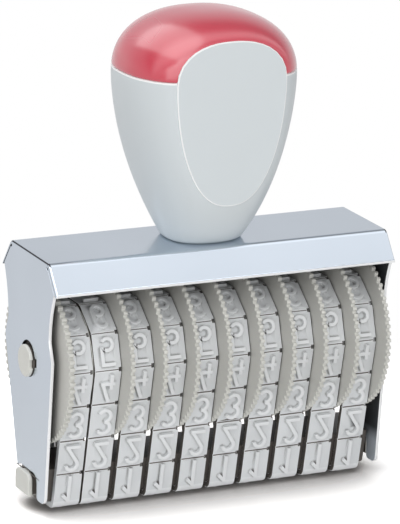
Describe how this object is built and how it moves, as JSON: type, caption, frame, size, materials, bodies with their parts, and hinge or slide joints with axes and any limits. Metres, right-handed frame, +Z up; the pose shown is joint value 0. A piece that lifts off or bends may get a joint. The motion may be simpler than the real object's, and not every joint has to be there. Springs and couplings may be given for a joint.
{
  "type": "number stamp",
  "caption": "Hand number stamp: toothed thumb-wheels on one axle carry endless number bands round an anvil bar, in a folded sheet frame with an egg-shaped handle.",
  "frame": {"origin": "middle of the printing faces, at the height of the digits' faces", "axes": "+X along the row of bands, -Y the front with the digits that the picture shows, +Z up to the handle"},
  "size_m": [0.1082, 0.048, 0.141],
  "materials": {
    "sheet": "bright plated sheet",
    "axle_plastic": "moulded ivory plastic",
    "wheel_plastic": "moulded ivory plastic",
    "band_rubber": "matt light grey rubber",
    "grip_plastic": "satin light grey",
    "face_plastic": "satin light grey, bare",
    "cap_plastic": "gloss red",
    "steel": "zinc plated",
    "brass": "turned"
  },
  "bodies": {
    "stamp": {"frame": "sheet", "axle": "axle_plastic", "axle_spacers": "axle_plastic", "anvil": "axle_plastic", "handle_body": "grip_plastic", "handle_cap": "cap_plastic", "handle_face_front": "face_plastic", "handle_face_rear": "face_plastic", "handle_screw": "steel", "handle_washer": "steel", "handle_insert": "brass", "band_01": "band_rubber", "band_02": "band_rubber", "band_03": "band_rubber", "band_04": "band_rubber", "band_05": "band_rubber", "band_06": "band_rubber", "band_07": "band_rubber", "band_08": "band_rubber", "band_09": "band_rubber", "band_10": "band_rubber"},
    "wheel_01": {"wheel_01": "wheel_plastic"},
    "wheel_02": {"wheel_02": "wheel_plastic"},
    "wheel_03": {"wheel_03": "wheel_plastic"},
    "wheel_04": {"wheel_04": "wheel_plastic"},
    "wheel_05": {"wheel_05": "wheel_plastic"},
    "wheel_06": {"wheel_06": "wheel_plastic"},
    "wheel_07": {"wheel_07": "wheel_plastic"},
    "wheel_08": {"wheel_08": "wheel_plastic"},
    "wheel_09": {"wheel_09": "wheel_plastic"},
    "wheel_10": {"wheel_10": "wheel_plastic"}
  },
  "joints": [
    {"name": "wheel_01_turn", "type": "hinge", "parent": "stamp", "child": "wheel_01", "pos_m": [0, 0, 0.0434], "axis": [1, 0, 0], "continuous": true},
    {"name": "wheel_02_turn", "type": "hinge", "parent": "stamp", "child": "wheel_02", "pos_m": [0, 0, 0.0434], "axis": [1, 0, 0], "continuous": true},
    {"name": "wheel_03_turn", "type": "hinge", "parent": "stamp", "child": "wheel_03", "pos_m": [0, 0, 0.0434], "axis": [1, 0, 0], "continuous": true},
    {"name": "wheel_04_turn", "type": "hinge", "parent": "stamp", "child": "wheel_04", "pos_m": [0, 0, 0.0434], "axis": [1, 0, 0], "continuous": true},
    {"name": "wheel_05_turn", "type": "hinge", "parent": "stamp", "child": "wheel_05", "pos_m": [0, 0, 0.0434], "axis": [1, 0, 0], "continuous": true},
    {"name": "wheel_06_turn", "type": "hinge", "parent": "stamp", "child": "wheel_06", "pos_m": [0, 0, 0.0434], "axis": [1, 0, 0], "continuous": true},
    {"name": "wheel_07_turn", "type": "hinge", "parent": "stamp", "child": "wheel_07", "pos_m": [0, 0, 0.0434], "axis": [1, 0, 0], "continuous": true},
    {"name": "wheel_08_turn", "type": "hinge", "parent": "stamp", "child": "wheel_08", "pos_m": [0, 0, 0.0434], "axis": [1, 0, 0], "continuous": true},
    {"name": "wheel_09_turn", "type": "hinge", "parent": "stamp", "child": "wheel_09", "pos_m": [0, 0, 0.0434], "axis": [1, 0, 0], "continuous": true},
    {"name": "wheel_10_turn", "type": "hinge", "parent": "stamp", "child": "wheel_10", "pos_m": [0, 0, 0.0434], "axis": [1, 0, 0], "continuous": true}
  ]
}
